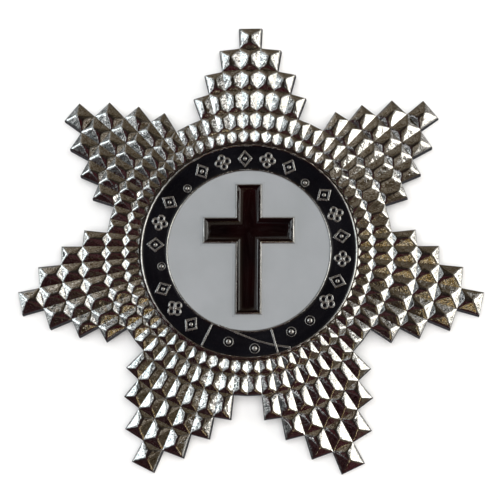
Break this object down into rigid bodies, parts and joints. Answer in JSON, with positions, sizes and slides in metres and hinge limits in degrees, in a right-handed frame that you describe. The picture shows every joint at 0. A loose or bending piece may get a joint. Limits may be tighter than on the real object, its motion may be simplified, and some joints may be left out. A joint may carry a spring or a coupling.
{
  "type": "breast jewel",
  "caption": "Faceted metal star with stepped points, vaulted and hollow at the back, with a round enamelled medallion that carries a cross, and a brooch pin behind.",
  "frame": {"origin": "centre of the bounding box in X and Y, at the surface that the star's tips rest on", "axes": "+Z out of the face, away from the wearer; +Y towards the top point as worn; +X to the viewer's right"},
  "size_m": [0.079, 0.077, 0.0056],
  "materials": {
    "silver_plate": "bright silver-coloured plating, polished, with slight wear",
    "polished_rim": "bright polished plating",
    "black_enamel": "glossy black enamel",
    "white_enamel": "white enamel, slightly uneven gloss",
    "dark_red_enamel": "glossy translucent enamel, nearly black with a red tinge",
    "pin_metal": "bright drawn wire and strip"
  },
  "bodies": {
    "root": {"star": "silver_plate", "medallion": "polished_rim", "belt_enamel": "black_enamel", "field_enamel": "white_enamel", "cross_enamel": "dark_red_enamel", "brooch_pin": "pin_metal"}
  },
  "joints": []
}
